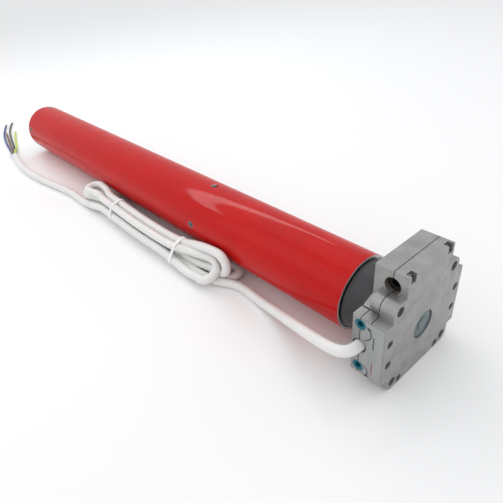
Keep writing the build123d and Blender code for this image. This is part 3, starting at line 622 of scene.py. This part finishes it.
def copper_tip(name, lib, route):
    """The stripped end of a core: seven fine copper strands, slightly splayed."""
    ahead = (route[-1] - route[-2]).normalized()
    across = ahead.cross(Vector((0.0, 0.0, 1.0))).normalized()
    above = across.cross(ahead)
    mesh = bpy.data.meshes.new(name)
    bm = bmesh.new()
    for k in range(TIP_STRANDS):
        ring = 0.0 if k == TIP_STRANDS - 1 else 1.0
        out = (across * cos(pi * k / 3) + above * sin(pi * k / 3)) * ring
        aim = (ahead + out * (0.06 + 0.03 * (k % 3))).normalized()
        depth = (TIP_LENGTH + 0.5 * (k % 3)) * MM
        centre = route[-1] + out * TIP_RING_R * MM + aim * (depth / 2 - 0.5 * MM)
        place = Matrix.Translation(centre) @ aim.to_track_quat("Z", "Y").to_matrix().to_4x4()
        bmesh.ops.create_cone(bm, cap_ends=True, segments=8, radius1=TIP_STRAND_R * MM,
                              radius2=TIP_STRAND_R * MM, depth=depth, matrix=place)
    bm.to_mesh(mesh)
    bm.free()
    piece = bpy.data.objects.new(name, mesh)
    link_piece(piece, "head", lib["bare_copper"])
    return piece


def make_cord(lib):
    points = cord_points()
    cord = flexible("mains_cord", points, CORD_R, lib["white_pvc"])
    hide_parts("cord_lead", "cord_hank", "cord_tail")
    ahead = (Vector(SHEATH_END) - Vector(LAST_BEND)).normalized()
    for colour, (rise, aside, bends) in CORES.items():
        u, y = SHEATH_END[0] - aside * ahead.y, SHEATH_END[1] + aside * ahead.x
        route = [on_floor(u, y, CORD_LIFT + rise),
                 on_floor(u + CORE_STRAIGHT * ahead.x, y + CORE_STRAIGHT * ahead.y, CORD_LIFT + rise)]
        route += [on_floor(bend_u, bend_y, CORE_R + 0.1) for bend_u, bend_y in bends]
        core = flexible(f"core_{colour}", route, CORE_R, lib[f"core_{colour}"])
        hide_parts("cord_cores")
        tip = copper_tip(f"copper_{colour}", lib, route)


# ---- ties -------------------------------------------------------------------------------
TIE_WIDTH = 3.0
TIE_THICK = 0.8
TIE_GAP = 0.05
TIE_POINTS = 72
STRAND_SIDES = 16


def outer_hull(points):
    """Convex outline of (y, h) points, anticlockwise."""
    points = sorted(points)

    def chain(ordered):
        kept = []
        for p in ordered:
            while len(kept) > 1:
                (ax, ay), (bx, by) = kept[-2:]
                if (bx - ax) * (p[1] - ay) - (by - ay) * (p[0] - ax) > 0:
                    break
                kept.pop()
            kept.append(p)
        return kept[:-1]

    return chain(points) + chain(points[::-1])


def tie_outline(centres, radius):
    ring = [(y + radius * cos(2 * pi * k / STRAND_SIDES), h + radius * sin(2 * pi * k / STRAND_SIDES))
            for y, h in centres for k in range(STRAND_SIDES)]
    return [(y, max(h, 0.1)) for y, h in outer_hull(ring)]


def tie_section(outline, knot):
    """The outline resampled to a fixed number of points, starting nearest to the knot."""
    closed = outline + outline[:1]
    lengths = [(Vector(b) - Vector(a)).length for a, b in zip(closed, closed[1:])]
    total = sum(lengths)
    count = TIE_POINTS
    section = []
    for k in range(count):
        along = total * k / count
        for (a, b), length in zip(zip(closed, closed[1:]), lengths):
            if along <= length:
                section.append(tuple(Vector(a).lerp(Vector(b), along / max(length, 1e-9))))
                break
            along -= length
        else:
            section.append(outline[0])
    first = min(range(count), key=lambda k: (Vector(section[k]) - Vector(knot)).length)
    return section[first:] + section[:first]


def make_tie(name, lib, u, centres, knot):
    """A thin band drawn round the strands, with its small knot and two cut ends."""
    mesh = bpy.data.meshes.new(name)
    bm = bmesh.new()
    inner = tie_section(tie_outline(centres, CORD_R + TIE_GAP), knot)
    outer = tie_section(tie_outline(centres, CORD_R + TIE_GAP + TIE_THICK), knot)
    half = TIE_WIDTH / 2
    rings = [[bm.verts.new(on_floor(u + side, y, h)) for y, h in section]
             for section, side in ((inner, -half), (outer, -half), (outer, half), (inner, half))]
    count = len(inner)
    for a, b in zip(rings, rings[1:] + rings[:1]):
        for k in range(count):
            n = (k + 1) % count
            bm.faces.new((a[k], a[n], b[n], b[k]))
    for place, size in (((u, knot[0], knot[1] + 0.4), (4.2, 3.6, 3.0)),
                        ((u + 3.6, knot[0] - 1.6, knot[1] + 1.0), (6.0, 1.4, 1.4)),
                        ((u - 2.2, knot[0] - 2.4, knot[1] + 1.4), (1.4, 6.0, 1.4))):
        made = bmesh.ops.create_icosphere(bm, subdivisions=2, radius=0.5 * MM)
        bmesh.ops.scale(bm, vec=size, verts=made["verts"])
        bmesh.ops.translate(bm, vec=on_floor(*place), verts=made["verts"])
    bmesh.ops.recalc_face_normals(bm, faces=bm.faces)
    bm.to_mesh(mesh)
    bm.free()
    piece = bpy.data.objects.new(name, mesh)
    link_piece(piece, "head", lib["tie_white"])
    round_edges(piece, 0.12)
    return piece


def make_ties(lib):
    left = [(BUNDLE_Y[262.0] + across, BUNDLE_H + up) for across, up in STRANDS.values()]
    right = [(-44.9, 4.2), (-34.0, 4.4), (-41.0, 10.8), (-32.0, 12.6), (-37.8, 21.4),
             (-44.6, 18.7), (-51.6, 8.2)]
    for tie in (make_tie("right_tie", lib, 380.0, right, (-48.6, 20.4)),
                make_tie("left_tie", lib, 267.0, left, (-47.0, 21.0))):
        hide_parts("cord_ties")


# ---- everything ---------------------------------------------------------------------------
make_camera()
make_studio()
materials = make_materials()
make_cord(materials)
make_ties(materials)
make_table()
dress_frame(materials)
make_label_marks(materials)
